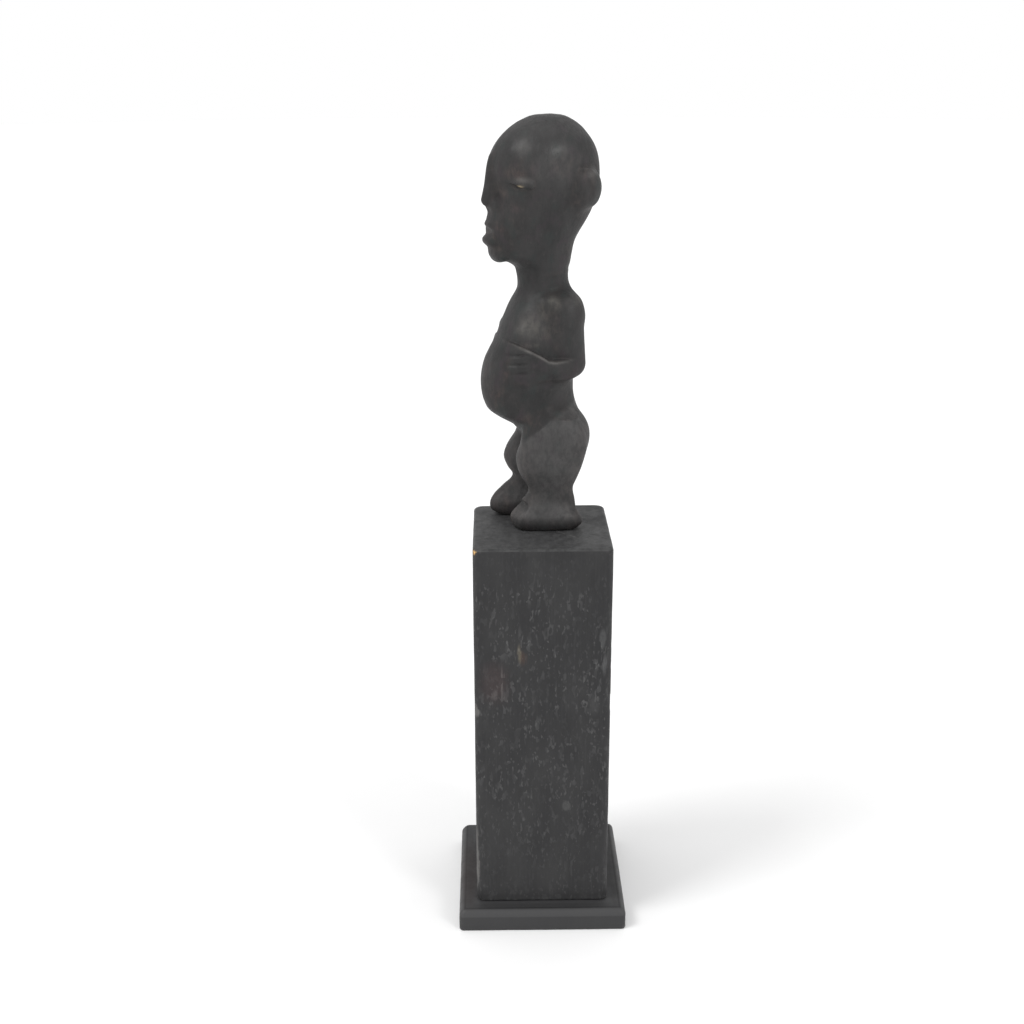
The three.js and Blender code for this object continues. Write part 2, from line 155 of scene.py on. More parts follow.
LEG_R=np.array([
 [0,-20.4,6.5,-26.0,-15.2,3],[2,-23.6,9,-27,-14.6,3],[4.5,-25.4,10,-27.4,-14.4,2.8],[7,-24.9,9.6,-27.4,-14.4,2.6],
 [9.5,-22.6,9,-27,-15.2,2.5],[12,-20.2,8.6,-26.6,-16.0,2.4],[14.5,-17.8,8.4,-26.4,-16.2,2.3],[17,-15.0,8.4,-26.4,-15.8,2.3],
 [20,-13.4,9,-26.8,-14.4,2.2],[24,-15.6,10.6,-27.6,-13.4,2.2],[29,-17.2,12.6,-28.6,-12,2.2],[34,-15.9,14.4,-29.4,-10.8,2.2],
 [39,-13.2,15.8,-29.6,-10,2.2],[44,-9.6,16,-29.2,-10,2.2],[49,-6.5,15,-28,-10,2.2],[54,-4,13,-26,-11,2.2]],float)
def leg(X,Y,z,T):
    zc=np.clip(z,T[0,0],T[-1,0])
    yf,yb,xi,xo=[ci(zc,T[:,0],T[:,k]) for k in (1,2,3,4)]; n=np.interp(zc,T[:,0],T[:,5])
    lo=np.minimum(xi,xo); hi=np.maximum(xi,xo)
    a=(yb-yf)/2; cy=(yf+yb)/2; b=(hi-lo)/2; cx=(lo+hi)/2
    q=(np.abs((Y-cy)/a)**n+np.abs((X-cx)/b)**n)**(1/n)
    return np.maximum((q-1)*np.minimum(a,b),np.maximum(T[0,0]-z,z-T[-1,0])).astype(F)

def g2(x,s): return np.exp(-(x/s)**2)
def gb3(u,v,z,c,r):
    """soft blob weight round a point"""
    return np.exp(-(((u-c[0])/r[0])**2+((v-c[1])/r[1])**2+((z-c[2])/r[2])**2))
def ramp(x,a,b):
    t=np.clip((x-a)/(b-a),0,1); return t*t*(3-2*t)

def figure_sdf(P):
    u,v,z=to_local(P)
    X,Y=P[...,0],P[...,1]
    tr=loft(u,v,z,TRUNK)
    d=tr
    # shallow valley of the spine
    d=sub(d,chain(u,v,z,[(-15.6,0,104),(-16.2,0,88),(-15.2,0,66)],[0.5,0.9,0.6]),1.8)
    # legs and feet
    ln=leg(X,Y,z,LEG_L); lf=leg(X,Y,z,LEG_R)
    ln=smax(ln,(-(Y+9.6)*0.86+(X-7.6)*0.50-0.2).astype(F),1.6)
    ln=smax(ln,smin((0.337*(X+4.0)-0.646*(Y+7.4)+0.684*(z-14.2)).astype(F),(12.0-z-0.35*(Y+6)).astype(F),2.5),0.8)
    lf=smax(lf,(-(Y+21.0)*0.93-(X+27.2)*0.36-0.4).astype(F),1.6)
    d=smin(d,smin(ln,lf,1.0),3.0)
    for k in (1,-1):
        V=v*k
        hu,hr=(-1.2,14.2) if k>0 else (-4.4,11.4)
        hip=smax(ell(u,V,z,(hu,11.8,44.5),(hr,8.3,17.0)),((z-58.8+0.016*(u+1.0)**2)*0.9).astype(F),1.5)
        d=smin(d,hip,3.0)
        d=smin(d,ell(u,V,z,(-12.6,9.0,44.6),(8.2,8.6,11.0)),2.4)
    # head
    h=loft(u,v,z,HEAD)
    for k in (1,-1):
        V=v*k
        h=sub(h,ell(u,V,z,(22.4,14.6,156.8),(3.9,7.0,2.4),yaw=42,roll=-12),3.4)
        h=smin(h,ell(u,V,z,(14.8,13.7,161.2),(3.3,6.4,3.0),yaw=42,roll=-12),1.4)
        h=sub(h,ell(u,V,z,(18.1,14.7,159.5),(1.8,4.9,0.42),yaw=44,roll=-13),0.25)
    h=smax(h,(z-188.9).astype(F),1.6)
    # nose
    h=smin(h,cone(u,v,z,(23.4,0,171),(25.6,0,153.0),1.0,3.0),4.0)
    for k in (1,-1):
        h=smin(h,ell(u,v*k,z,(23.0,3.3,150.6),(2.6,2.2,2.4)),1.8)
    # muzzle, chin, lips
    h=smin(h,ell(u,v,z,(19.6,0,140.2),(6.0,9.4,10.2)),4.0)
    h=smin(h,ell(u,v,z,(20.6,0,128.4),(3.6,7.0,3.35)),2.4)
    h=smin(h,ell(u,v,z,(23.7,0,142.3),(3.1,5.2,1.6),pitch=6),1.3)
    h=smin(h,ell(u,v,z,(23.9,0,135.0),(4.3,5.8,3.0),pitch=-8),1.6)
    h=sub(h,ell(u,v,z,(28.6,0,139.4),(3.6,7.4,1.3)),1.6)
    d=smin(d,h,3.2)
    for k in (1,-1):
        V=v*k
        # ear
        e=ell(u,V,z,(-15.6,16.2,158.4),(7.4,5.5,8.6),yaw=36,pitch=8)
        e=sub(e,ell(u,V,z,(-12.6,23.4,157.4),(2.8,1.5,4.6),yaw=34,pitch=8),2.2)
        kk=2.2+2.0*ramp(u+0.25*(158-z),-14.0,-8.5)+3.0*ramp(156.5-z,0.0,5.0)
        d=smin(d,e,kk.astype(F))
        d=smin(d,chain(u,V,z,[(-8.6,18.0,165.2),(-12.0,19.6,166.4),(-15.6,19.3,164.8),(-18.2,17.6,161.0)],[0.2,0.8,0.8,0.5]),1.6)
        # shoulder and upper arm run into the chest, free at the back
        sh=ell(u,V,z,(-6.8,13.6,102.8),(8.8,7.8,8.4),roll=14)
        ua=cone(u,V,z,(-7.6,14.6,99),(-9.0,15.2,79.6),7.1,6.9)
        d=smin(d,smin(sh,ua,3.0),4.4)
        d=smin(d,cone(u,V,z,(-7.0,5.5,110.0),(-7.4,13.0,104.6),5.0,5.4),3.6)
        d=smin(d,ell(u,V,z,(0.5,11.8,107.0),(5.5,4.6,3.8)),3.2)
        # forearm and hand: low relief lying on the belly, stepped along its top edge
        sh_u=u if k>0 else u+1.5
        zl=np.interp(sh_u,[-14,-7,1,4.5,6.8,10.4,14.9,19.4,24],[84.5,83.4,82.6,83.2,84.8,86.9,88.9,90.6,92]).astype(F)
        zb=np.interp(sh_u,[-14,-7,2,8,12,24],[73.2,72.8,72.6,72.5,71.4,71.4]).astype(F)
        t=np.interp(sh_u,[-16,-9,-2,4,9,13,19,22],[7,6.6,5.0,3.8,2.8,2.0,1.5,1.3]).astype(F)
        if k<0: t=t*0.8
        fade=ramp(z,zb-1.0,zl-3.0)
        fade=1-(1-fade)*ramp(sh_u,-7.0,3.0)
        t=(t*(0.12+0.88*fade)*(1-0.45*ramp(sh_u,17.5,22))).astype(F)
        side=(np.interp(sh_u,[-14,-6,0,24],[13.0,10.5,4.5,2.0])-V)
        reg=smax(smax(z-zl,(zb-z)*0.8,1.0),sh_u-21.8+np.abs(z-79.5)*0.12,1.0)
        reg=smax(reg,side.astype(F),4.0); reg=smax(reg,(-12.5-sh_u).astype(F),4.0)
        fo=smax((tr-t).astype(F),reg.astype(F),(0.9+3.0*ramp(-sh_u,2.0,9.0)).astype(F))
        # finger lines
        win=ramp(sh_u,12.0,15.0)
        for zz in (84.6,80.6,76.4):
            fo=fo+(0.85*g2(z-zz-0.10*(21-sh_u),0.62)*win*ramp(V,3,6)).astype(F)
        d=smin(d,fo.astype(F),0.6)
        # breast
        d=d-(1.15*gb3(u,V,z,(13.8,12.4,95.2),(3.6,3.2,2.9))+0.5*gb3(u,V,z,(14.4,12.8,95.0),(1.2,1.2,1.1))).astype(F)
        d=d-(0.8*gb3(u,V,z,(-12.0,8.0,109.5),(5.0,8.0,3.0))).astype(F)
        # cheek nick
        d=d+(0.35*gb3(u,V,z,(13.0,15.0,150.4),(1.6,1.6,0.6))).astype(F)
    d=d-(0.5*gb3(u,v,z,(19.0,0,56.5),(6.0,9.0,4.0))).astype(F)
    # hand-cut surface: slow wander and knife facets
    w=vnoise(X/13.0+3,Y/13.0,z/17.0,0)*0.28+vnoise(X/4.6,Y/4.6+5,z/6.5,1)*0.11
    return (d+w).astype(F)

# ---------------------------------------------------------------- surface from a distance function
def nets(V, lo, h):
    """one vertex per crossed cell, one quad per crossed edge"""
    n = V.shape
    S = V < 0
    c = [S[i:n[0]-1+i, j:n[1]-1+j, k:n[2]-1+k] for i in (0, 1) for j in (0, 1) for k in (0, 1)]
    cnt = sum(x.astype(np.int8) for x in c)
    act = (cnt > 0) & (cnt < 8)
    ids = np.argwhere(act)
    idx = -np.ones(act.shape, np.int64)
    idx[act] = np.arange(len(ids))
    I = ids.T
    acc = np.zeros((len(ids), 3))
    w = np.zeros(len(ids))
    vals = {(i, j, k): V[I[0]+i, I[1]+j, I[2]+k].astype(np.float64)
            for i in (0, 1) for j in (0, 1) for k in (0, 1)}
    for ax in range(3):
        o = [q for q in range(3) if q != ax]
        for a in (0, 1):
            for b in (0, 1):
                c0 = [0, 0, 0]; c0[o[0]] = a; c0[o[1]] = b
                c1 = list(c0); c1[ax] = 1
                v0 = vals[tuple(c0)]; v1 = vals[tuple(c1)]
                m = (v0 < 0) != (v1 < 0)
                t = np.where(m, v0/np.where(m, v0-v1, 1), 0)
                p = np.zeros((len(ids), 3)); p[:] = c0; p[:, ax] += t
                acc += p*m[:, None]; w += m
    verts = np.array(lo, float) + (ids + acc/w[:, None])*h
    quads = []
    for ax in range(3):
        o = [q for q in range(3) if q != ax]
        s0 = [slice(None)]*3; s1 = [slice(None)]*3
        s0[ax] = slice(0, n[ax]-1); s1[ax] = slice(1, n[ax])
        for q in o:
            s0[q] = slice(1, n[q]-1); s1[q] = slice(1, n[q]-1)
        a = S[tuple(s0)]; b = S[tuple(s1)]
        e = np.argwhere(a != b)
        if len(e) == 0:
            continue
        base = e.copy()
        for q in o:
            base[:, q] += 1

        def cell(d0, d1):
            c = base.copy(); c[:, o[0]] -= d0; c[:, o[1]] -= d1
            return idx[c[:, 0], c[:, 1], c[:, 2]]
        q4 = np.stack([cell(1, 1), cell(0, 1), cell(0, 0), cell(1, 0)], 1)
        inside = a[tuple(e.T)]
        flip = inside if ax != 1 else ~inside
        q4[~flip] = q4[~flip][:, ::-1]
        quads.append(q4)
    return verts, np.concatenate(quads)


def surface(fn, lo, hi, h):
    lo = np.array(lo, float)
    n = np.ceil((np.array(hi, float) - lo)/h).astype(int) + 1
    xs = [(lo[i] + h*np.arange(n[i])).astype(np.float32) for i in range(3)]
    V = np.empty(tuple(n), np.float32)
    step = max(1, int(2.4e6//(n[0]*n[1])))
    X, Y = np.meshgrid(xs[0], xs[1], indexing="ij")
    for k in range(0, n[2], step):
        zz = xs[2][k:k+step]
        P = np.empty((n[0], n[1], len(zz), 3), np.float32)
        P[..., 0] = X[..., None]; P[..., 1] = Y[..., None]; P[..., 2] = zz
        V[:, :, k:k+step] = fn(P)
    return nets(V, lo, h)


def vert_normals(v, q):
    n = np.zeros_like(v)
    fn = np.cross(v[q[:, 2]] - v[q[:, 0]], v[q[:, 3]] - v[q[:, 1]])
    for k in range(4):
        np.add.at(n, q[:, k], fn)
    return n/np.maximum(np.linalg.norm(n, axis=1, keepdims=True), 1e-9)


def make_object(name, verts_mm, faces, attrs=None, smooth=True):
    me = bpy.data.meshes.new(name)
    me.from_pydata((np.asarray(verts_mm, float)/1000.0).tolist(), [], [list(map(int, f)) for f in faces])
    me.validate()
    me.update()
    for key, val in (attrs or {}).items():
        a = me.attributes.new(key, "FLOAT", "POINT")
        a.data.foreach_set("value", np.asarray(val, np.float32))
    me.polygons.foreach_set("use_smooth", [smooth]*len(me.polygons))
    ob = bpy.data.objects.new(name, me)
    bpy.context.scene.collection.objects.link(ob)
    return ob


# ---------------------------------------------------------------- the carving
H = 0.5
fv, fq = surface(figure_sdf, (-42, -32, -1.0), (24, 32, 191.5), H)
fv = np.asarray(fv, float)
fn_ = vert_normals(fv, fq)


def sd(P):
    return figure_sdf(np.asarray(P, np.float32)[None, None])[0, 0].astype(float)


# keep only the outer skin
par = list(range(len(fv)))


def root(i):
    while par[i] != i:
        par[i] = par[par[i]]
        i = par[i]
    return i


for q in fq.tolist():
    r0 = root(q[0])
    for k in (1, 2, 3):
        r1 = root(q[k])
        if r1 != r0:
            par[r1] = r0
lab = np.array([root(i) for i in range(len(fv))])
ids, counts = np.unique(lab, return_counts=True)
keep = lab == ids[counts.argmax()]
remap = -np.ones(len(fv), int); remap[keep] = np.arange(keep.sum())
fq = remap[fq[keep[fq].all(1)]]; fv = fv[keep]; fn_ = fn_[keep]

near_in = sd(fv + fn_*1.5) - 1.5       # below zero in hollows
far_in = sd(fv + fn_*4.0) - 4.0
edge = sd(fv - fn_*1.6) + 1.6          # above zero on thin edges
cavity = np.clip(-near_in/0.9, 0, 1)*0.7 + np.clip(-far_in/3.0, 0, 1)*0.3
ridge = np.clip(edge/0.55, 0, 1)
U, Vv, Z = to_local(fv.astype(np.float32)[None]); U, Vv, Z = U[0].astype(float), Vv[0].astype(float), Z[0].astype(float)
Xp, Yp = fv[:, 0], fv[:, 1]


def spot(c, r, both=False, side=None):
    """soft weight round a body point (u, v, z); the mirrored one too when both"""
    w = np.exp(-(((U-c[0])/r[0])**2 + ((Vv-c[1])/r[1])**2 + ((Z-c[2])/r[2])**2))
    if both:
        w = np.maximum(w, np.exp(-(((U-c[0])/r[0])**2 + ((Vv+c[1])/r[1])**2 + ((Z-c[2])/r[2])**2)))
    return w


def spot_xyz(c, r):
    return np.exp(-(((Xp-c[0])/r[0])**2 + ((Yp-c[1])/r[1])**2 + ((Z-c[2])/r[2])**2))


rng = np.random.RandomState(5)
warp = 0.6 + 0.4*vnoise(fv[:, 0]/2.6, fv[:, 1]/2.6, fv[:, 2]/4.0, 2).astype(float)
worn = np.zeros(len(fv))
for c, r, k, both in [
        ((17.0, 14.0, 166.0), (6.5, 4.5, 4.2), 0.75, True),      # temple
        ((14.5, 15.5, 162.8), (3.2, 3.0, 2.0), 0.35, True),      # over the lid
        ((-2.0, 19.0, 168.5), (6.0, 4.0, 4.0), 0.45, True),      # side of the skull
        ((18.5, 13.0, 150.0), (3.5, 3.5, 3.0), 0.6, True),       # cheek
        ((22.5, 8.5, 156.0), (3.0, 3.0, 6.0), 0.55, True),       # beside the nose
        ((25.0, 0.0, 152.0), (3.5, 3.5, 4.5), 0.5, False),       # nose
        ((22.3, 8.0, 140.9), (3.5, 3.0, 3.5), 0.7, True),        # corner of the mouth
        ((24.5, 0.0, 139.0), (3.0, 7.0, 5.5), 0.5, False),       # lips
        ((25.0, 9.0, 66.0), (5.0, 7.0, 5.0), 0.6, True),         # low front of the belly
        ((27.5, 0.0, 74.0), (4.0, 9.0, 9.0), 0.35, False),
        ((21.5, 14.0, 78.0), (2.0, 2.6, 6.0), 0.6, True),        # finger tips
        ((12.0, 15.5, 52.0), (5.0, 5.0, 4.5), 0.55, True),       # front of the hip
        ((3.2, 16.3, 94.0), (3.0, 3.0, 3.0), 0.3, True),
        ((-13.5, 21.0, 163.0), (4.0, 4.0, 4.0), 0.35, True)]:    # ear rim
    worn = np.maximum(worn, k*spot(c, r, both))
worn = np.maximum(worn, 0.95*spot_xyz((-20.0, -18.5, 6.5), (7.5, 6.0, 4.5)))     # toes of the far foot
worn = np.maximum(worn, 0.35*spot_xyz((3.0, -12.0, 8.0), (6.0, 6.0, 4.0)))
worn = np.maximum(worn, ridge*0.30)
worn = np.clip(worn*warp*1.25, 0, 1)

slit = spot((16.6, 16.0, 159.7), (2.4, 3.2, 0.8), True)
slit = np.clip((slit - 0.45)/0.35, 0, 1)*np.clip(0.2 + cavity*2.0, 0, 1)
# lighter bared wood on the shoulder, upper arm and chest, with a painted highlight on the breast and on the top of the
# shoulder
pale = np.zeros(len(fv))
for c, r, k in [((0.6, 15.5, 107.4), (3.4, 4.0, 2.6), 0.8), ((5.2, 14.4, 103.6), (2.0, 3.0, 4.6), 0.55),
                ((10.5, 14.0, 97.5), (5.0, 5.0, 5.0), 0.55), ((13.8, 12.6, 95.4), (2.4, 2.6, 2.0), 0.6),
                ((4.0, 15.0, 95.5), (5.0, 5.0, 4.5), 0.35), ((12.0, 16.5, 89.3), (5.0, 4.0, 1.2), 0.5),
                ((-12.6, 16.0, 108.6), (4.5, 5.0, 2.2), 0.5)]:
    pale = np.maximum(pale, k*spot(c, r, True))
pale = np.clip(pale*(0.55 + 0.45*warp), 0, 1)
hip_top = np.interp(U, [-16, -10, -4, 2, 8, 14, 20], [60.0, 59.0, 57.0, 54.0, 49.0, 43.0, 40.0])
greyer_wood_and_painted_light = np.clip((hip_top - Z)/2.2 + 0.5, 0, 1)*np.clip((Z - 2.5)/4.5, 0.06, 1)   # hips, legs and feet: paler greyer wood, and painted light on the hip below the overhang of the belly
greyer_wood_and_painted_light *= np.clip(0.86 + 0.32*vnoise(Xp/9.0, Yp/9.0, Z/9.0, 3).astype(float), 0.4, 1)
# more lighter spots: paler wood on the chest, skull, ear, cheek and arm, with painted light on the hip, the top of the
# head and the top of the ear
greyer_wood_and_painted_light = np.maximum(greyer_wood_and_painted_light, 1.0*spot((4.0, 16.0, 50.0), (10.0, 8.0, 8.0), True)*(Z < hip_top))
greyer_wood_and_painted_light = np.maximum(greyer_wood_and_painted_light, 0.85*spot((10.0, 14.0, 98.5), (7.0, 6.0, 7.0), True))
greyer_wood_and_painted_light = np.maximum(greyer_wood_and_painted_light, 0.62*spot((2.0, 18.0, 168.0), (14.0, 9.0, 10.0), True))
greyer_wood_and_painted_light = np.maximum(greyer_wood_and_painted_light, 0.40*np.clip((Z - 177.0)/6.0, 0, 1))
greyer_wood_and_painted_light = np.maximum(greyer_wood_and_painted_light, 0.45*spot((-15.0, 19.0, 158.0), (7.0, 6.0, 9.0), True))
greyer_wood_and_painted_light = np.maximum(greyer_wood_and_painted_light, 0.30*spot((21.0, 6.0, 150.0), (6.0, 8.0, 12.0), True))
greyer_wood_and_painted_light = np.maximum(greyer_wood_and_painted_light, 0.25*spot((-9.0, 19.0, 96.0), (7.0, 6.0, 14.0), True))
greyer_wood_and_painted_light = np.maximum(greyer_wood_and_painted_light, 0.60*spot((-13.5, 18.0, 163.5), (4.5, 5.0, 3.0), True))
# painted highlights: a lighter line along the top edge of the forearm ledge, and lighter spots where the lamps glint on
# the head, shoulder, chest and instep
ledge = np.interp(U, [-14, -7, 1, 4.5, 6.8, 10.4, 14.9, 19.4, 24], [84.5, 83.4, 82.6, 83.2, 84.8, 86.9, 88.9, 90.6, 92])
painted_highlight = np.exp(-((Z - ledge + 1.0)/0.62)**2)*(np.abs(Vv) > 3.0)*np.clip((U + 9.0)/4.0, 0, 1)*np.clip((18.0 - U)/4.0, 0, 1)
painted_highlight = painted_highlight*np.clip((U + 4.0)/7.0, 0.42, 1)
painted_highlight = painted_highlight*np.clip(0.75 + 0.5*vnoise(Xp/3.0, Yp/3.0, Z/3.0, 6).astype(float), 0, 1)
painted_highlight = np.maximum(painted_highlight, 0.8*spot((15.2, 15.4, 162.2), (3.0, 3.0, 1.2), True))      # painted highlight on the upper lid
painted_highlight = np.maximum(painted_highlight, 0.7*spot((-17.0, 18.0, 164.5), (2.2, 3.0, 1.6), True))     # painted highlight on the top of the ear
painted_highlight = np.maximum(painted_highlight, 0.60*spot_xyz((7.0, -8.1, 176.0), (9.0, 3.2, 3.2))*warp)     # painted highlights on the crown
painted_highlight = np.maximum(painted_highlight, 0.36*spot_xyz((8.0, 7.6, 174.3), (9.0, 3.0, 2.6))*warp)
painted_highlight = np.maximum(painted_highlight, 0.85*spot_xyz((-2.0, 21.7, 164.0), (8.0, 1.9, 1.5)))
painted_highlight = np.maximum(painted_highlight, 0.42*spot_xyz((1.0, 13.2, 108.4), (8.0, 3.2, 2.0))*warp)      # painted highlights on the shoulder and chest
painted_highlight = np.maximum(painted_highlight, 0.45*spot_xyz((4.0, 5.2, 108.5), (8.0, 2.6, 1.8))*warp)
painted_highlight = np.maximum(painted_highlight, 0.42*spot_xyz((5.0, -7.6, 95.0), (8.0, 3.2, 2.2))*warp)
painted_highlight = np.maximum(painted_highlight, 0.30*spot_xyz((4.0, -3.5, 13.0), (5.0, 2.4, 3.2))*warp)       # painted highlight on the instep
polish = spot((4.0, 15.0, 171.0), (15.0, 9.0, 11.0), True)

figure = make_object("figure_carving", np.column_stack([fv[:, 0], fv[:, 1], fv[:, 2] + SOLE_Z]), fq,
                     {"cavity": cavity, "worn": worn, "slit": slit, "pale": pale, "greyer_wood_and_painted_light": greyer_wood_and_painted_light, "painted_highlight": painted_highlight, "polish": polish})
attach(figure, "root")
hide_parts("figure")


# ---------------------------------------------------------------- plinth
def sq_ring(half, r, step, seg):
    """rounded square outline, counter-clockwise, with points along the sides"""
    pts = []
    s = half - r
    n = max(1, int(round(2*s/step)))
    for q in range(4):
        a0 = q*math.pi/2
        c, d = math.cos(a0), math.sin(a0)
        for i in range(n):
            y = -s + 2*s*i/n
            pts.append((half*c - y*d, half*d + y*c))
        for i in range(seg):
            a = a0 + (math.pi/2)*i/seg
            cx, cy = s*c - s*d, s*d + s*c
            pts.append((cx + r*math.cos(a), cy + r*math.sin(a)))
    return np.array(pts)


def wander(P, amp, size, seed):
    return amp*vnoise(P[:, 0]/size + seed, P[:, 1]/size, P[:, 2]/size, seed % 3).astype(float)


def bored(ob, holes):
    """cuts round holes (x, y, z0, z1, r in mm) and keeps the result as the mesh"""
    cutters = []
    for x, y, z0, z1, r in holes:
        n = 32
        v = [(x + r*math.cos(2*math.pi*i/n), y + r*math.sin(2*math.pi*i/n), z) for z in (z0, z1) for i in range(n)]
        f = [(i, (i+1) % n, n + (i+1) % n, n + i) for i in range(n)] + [tuple(range(n))[::-1], tuple(range(n, 2*n))]
        cutters.append(make_object("cutter", v, f, smooth=False))
    for c in cutters:
        m = ob.modifiers.new("bore", "BOOLEAN")
        m.operation = "DIFFERENCE"; m.object = c; m.solver = "EXACT"
    dg = bpy.context.evaluated_depsgraph_get()
    me = bpy.data.meshes.new_from_object(ob.evaluated_get(dg))
    ob.modifiers.clear()
    ob.data = me
    for c in cutters:
        bpy.data.objects.remove(c)
    return ob


STEP = 1.3
ARRIS = 4.0
TOP_R = 1.8
levels = [(COL_Z0, -0.5), (COL_Z0 + 0.15, -0.2), (COL_Z0 + 0.5, 0.0)]
nz = int((COL_Z1 - TOP_R - COL_Z0 - 1.0)/(STEP*1.15))
for i in range(nz + 1):
    levels.append((COL_Z0 + 1.0 + (COL_Z1 - TOP_R - COL_Z0 - 1.0)*i/nz, 0.0))
for i in range(1, 7):
    a = math.pi/2*i/6
    levels.append((COL_Z1 - TOP_R + TOP_R*math.sin(a), -(TOP_R - TOP_R*math.cos(a))))
rings = []
for z, inset in levels:
    r = sq_ring(COL_HALF, ARRIS, STEP, 9)
    s = (COL_HALF + inset)/COL_HALF
    rings.append(np.column_stack([r*s, np.full(len(r), z)]))
top_w = COL_HALF - TOP_R
n_in = int(top_w/(STEP*1.4))
for i in range(1, n_in):
    r = sq_ring(COL_HALF, ARRIS, STEP, 9)
    s = (COL_HALF - TOP_R)/COL_HALF*(1 - i/n_in)
    rings.append(np.column_stack([r*s, np.full(len(r), COL_Z1)]))
nr = len(rings[0])
cv = np.concatenate(rings + [np.array([[0, 0, COL_Z1]]), np.array([[0, 0, COL_Z0]])])
cf = []
for k in range(len(rings) - 1):
    for i in range(nr):
        j = (i + 1) % nr
        cf.append((k*nr + i, k*nr + j, (k+1)*nr + j, (k+1)*nr + i))
last = (len(rings) - 1)*nr
ct, cb = len(cv) - 2, len(cv) - 1
for i in range(nr):
    j = (i + 1) % nr
    cf.append((last + i, last + j, ct))
    cf.append((j, i, cb))
# planed and sanded by hand: faces a touch uneven, arrises rubbed, one corner chipped
P = cv.copy()
nrm = np.zeros_like(P)
side = (P[:, 2] < COL_Z1 - 0.01) & (P[:, 2] > COL_Z0 + 0.6)
rad = np.maximum(np.abs(P[:, 0]), np.abs(P[:, 1]))
onx = np.abs(P[:, 0]) > np.abs(P[:, 1])
nrm[:, 0] = np.where(onx, np.sign(P[:, 0]), 0); nrm[:, 1] = np.where(~onx, np.sign(P[:, 1]), 0)
corner = np.minimum(np.abs(P[:, 0]), np.abs(P[:, 1])) > COL_HALF - ARRIS
cdir = np.column_stack([np.sign(P[:, 0]), np.sign(P[:, 1]), np.zeros(len(P))])/math.sqrt(2)
nrm[corner] = cdir[corner]
dis = wander(P, 0.10, 23, 2) + wander(P, 0.05, 7, 5)
arris_dent = np.clip(vnoise(P[:, 0]/30, P[:, 1]/30, P[:, 2]/5.5, 1).astype(float) - 0.35, 0, 1)*0.8
dis = dis - 0.12
dis[corner] -= arris_dent[corner]
cv = np.where(side[:, None], P + nrm*dis[:, None], P)
top_in = P[:, 2] >= COL_Z1 - 0.01
cv[top_in, 2] += np.minimum(wander(P[top_in], 0.05, 15, 7) - 0.06, 0.0)


def knock_off(V, pt, n, rough, seed):
    """flattens what stands beyond a plane; returns how much was taken"""
    n = np.array(n, float); n /= np.linalg.norm(n)
    d = (V - np.array(pt, float))@n
    d = d + rough*vnoise(V[:, 0]/1.1 + seed, V[:, 1]/1.1, V[:, 2]/1.1, 0).astype(float)
    take = np.clip(d, 0, None)
    return V - take[:, None]*n, take


bare = np.zeros(len(cv))
cv, t0 = knock_off(cv, (COL_HALF - 1.25, -COL_HALF + 1.25, COL_Z1 - 2.2), (1, -1.0, 0.55), 0.25, 3)
bare = np.maximum(bare, np.clip(t0/0.12, 0, 1))
cv, t1 = knock_off(cv, (-COL_HALF + 1.35, COL_HALF - 1.35, COL_Z1 - 1.2), (-1, 1.0, 0.9), 0.25, 6)
column = make_object("column_timber", cv, cf, {"bare": bare})
holes = []
for nm in ("leg_pin_left", "leg_pin_right"):
    a, b = lo_hi(nm)
    holes.append(((a[0]+b[0])/2, (a[1]+b[1])/2, a[2] - 0.3, COL_Z1 + 2, (b[0]-a[0])/2 + 0.25))
screws = [n for n in NODES if n.startswith("base_screw")]
for nm in sorted(screws):
    a, b = lo_hi(nm)
    holes.append(((a[0]+b[0])/2, (a[1]+b[1])/2, COL_Z0 - 2, b[2] + 0.4, 2.25))
bored(column, holes)
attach(column, "root")
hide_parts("column")

# base plate: square edge, then a rounded shoulder up to the flat
EDGE_H, INSET = 7.2, 2.9
prof = [(-0.6, 0.0), (-0.2, 0.12), (0.0, 0.6)]
for i in range(1, 6):
    prof.append((0.0, 0.6 + (EDGE_H - 0.6)*i/5))
rise = BASE_Z1 - EDGE_H
for i in range(1, 10):
    a = math.pi/2*i/9
    prof.append((-INSET*(1 - math.cos(a)), EDGE_H + rise*math.sin(a)))
rings = []
for inset, z in prof:
    r = sq_ring(BASE_HALF, 2.4, STEP*1.2, 6)
    rings.append(np.column_stack([r*((BASE_HALF + inset)/BASE_HALF), np.full(len(r), z)]))
inner = BASE_HALF - INSET
n_in = int(inner/(STEP*2))
for i in range(1, n_in):
    r = sq_ring(BASE_HALF, 2.4, STEP*1.2, 6)
    rings.append(np.column_stack([r*(inner/BASE_HALF)*(1 - i/n_in), np.full(len(r), BASE_Z1)]))
nr = len(rings[0])
bv = np.concatenate(rings + [np.array([[0, 0, BASE_Z1]]), np.array([[0, 0, 0.0]])])
bf = []
for k in range(len(rings) - 1):
    for i in range(nr):
        j = (i + 1) % nr
        bf.append((k*nr + i, k*nr + j, (k+1)*nr + j, (k+1)*nr + i))
last = (len(rings) - 1)*nr
ct, cb = len(bv) - 2, len(bv) - 1
for i in range(nr):
    j = (i + 1) % nr
    bf.append((last + i, last + j, ct))
    bf.append((j, i, cb))
P = bv.copy()
onx = np.abs(P[:, 0]) > np.abs(P[:, 1])
nrm = np.zeros_like(P)
nrm[:, 0] = np.where(onx, np.sign(P[:, 0]), 0); nrm[:, 1] = np.where(~onx, np.sign(P[:, 1]), 0)
outer = np.maximum(np.abs(P[:, 0]), np.abs(P[:, 1])) > BASE_HALF - 4.5
dis = wander(P, 0.09, 19, 1) + wander(P, 0.05, 5.5, 8) - 0.14
low = P[:, 2] < 0.01
bv = np.where((outer & ~low)[:, None], P + nrm*dis[:, None], P)
